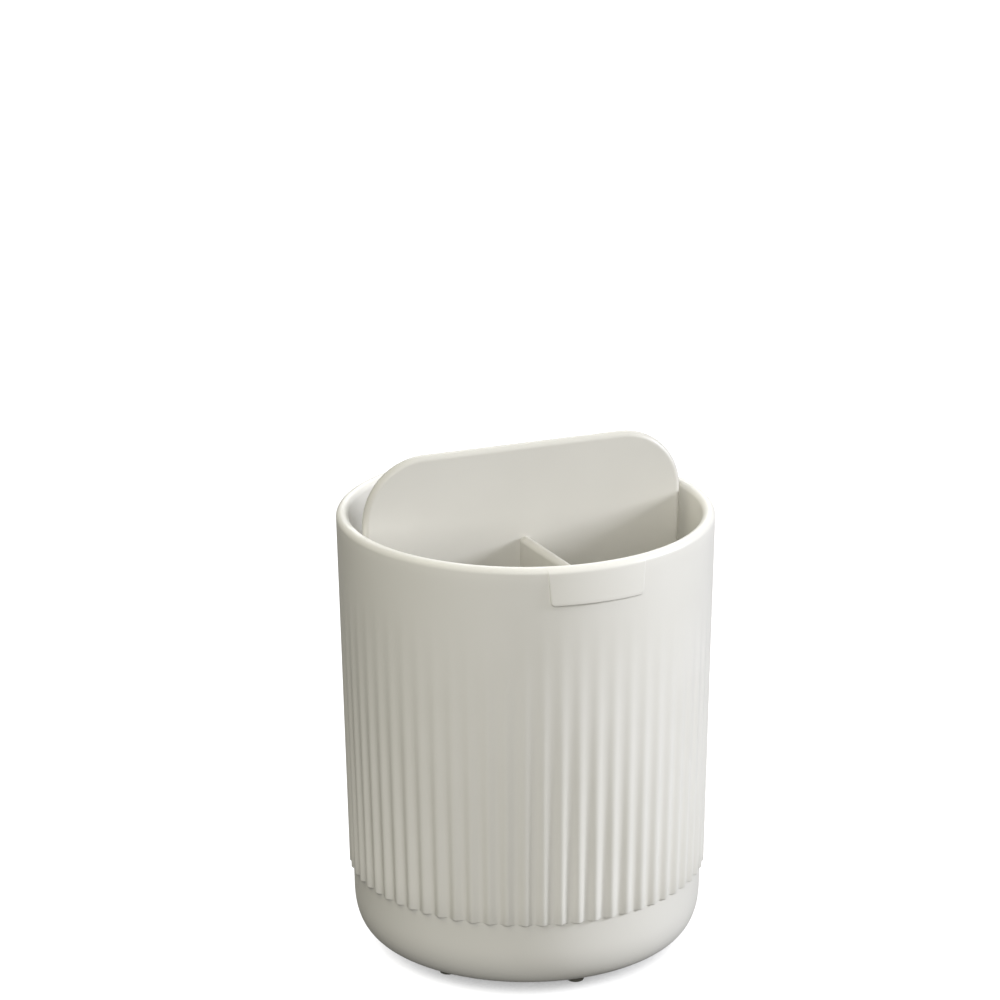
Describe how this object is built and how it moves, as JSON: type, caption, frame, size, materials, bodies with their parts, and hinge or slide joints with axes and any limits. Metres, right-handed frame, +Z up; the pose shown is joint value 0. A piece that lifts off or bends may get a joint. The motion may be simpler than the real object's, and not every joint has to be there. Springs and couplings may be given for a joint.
{
  "type": "toothbrush holder",
  "caption": "Round tapered cup with fine upright ribs, standing on small soft feet, with a lift-out T-shaped divider that parts it into compartments for toothbrushes.",
  "frame": {"origin": "on the cup's axis, on the surface that the feet stand on", "axes": "+Z up along the cup's axis; -Y towards the front of the cup, where the bare plate is; +X to the right as seen from the front"},
  "size_m": [0.09, 0.0905, 0.1249],
  "materials": {
    "cup_plastic": "satin, light warm grey",
    "divider_plastic": "satin, light warm grey",
    "foot_rubber": "dull, dark warm grey"
  },
  "bodies": {
    "holder": {"cup": "cup_plastic", "foot_front": "foot_rubber", "foot_front_right": "foot_rubber", "foot_rear_right": "foot_rubber", "foot_rear": "foot_rubber", "foot_rear_left": "foot_rubber", "foot_front_left": "foot_rubber"},
    "lift_out_divider": {"divider": "divider_plastic"}
  },
  "joints": [
    {"name": "divider_lift", "type": "slide", "parent": "holder", "child": "lift_out_divider", "axis": [0, 0, 1], "range_m": [0, 0.12]}
  ]
}
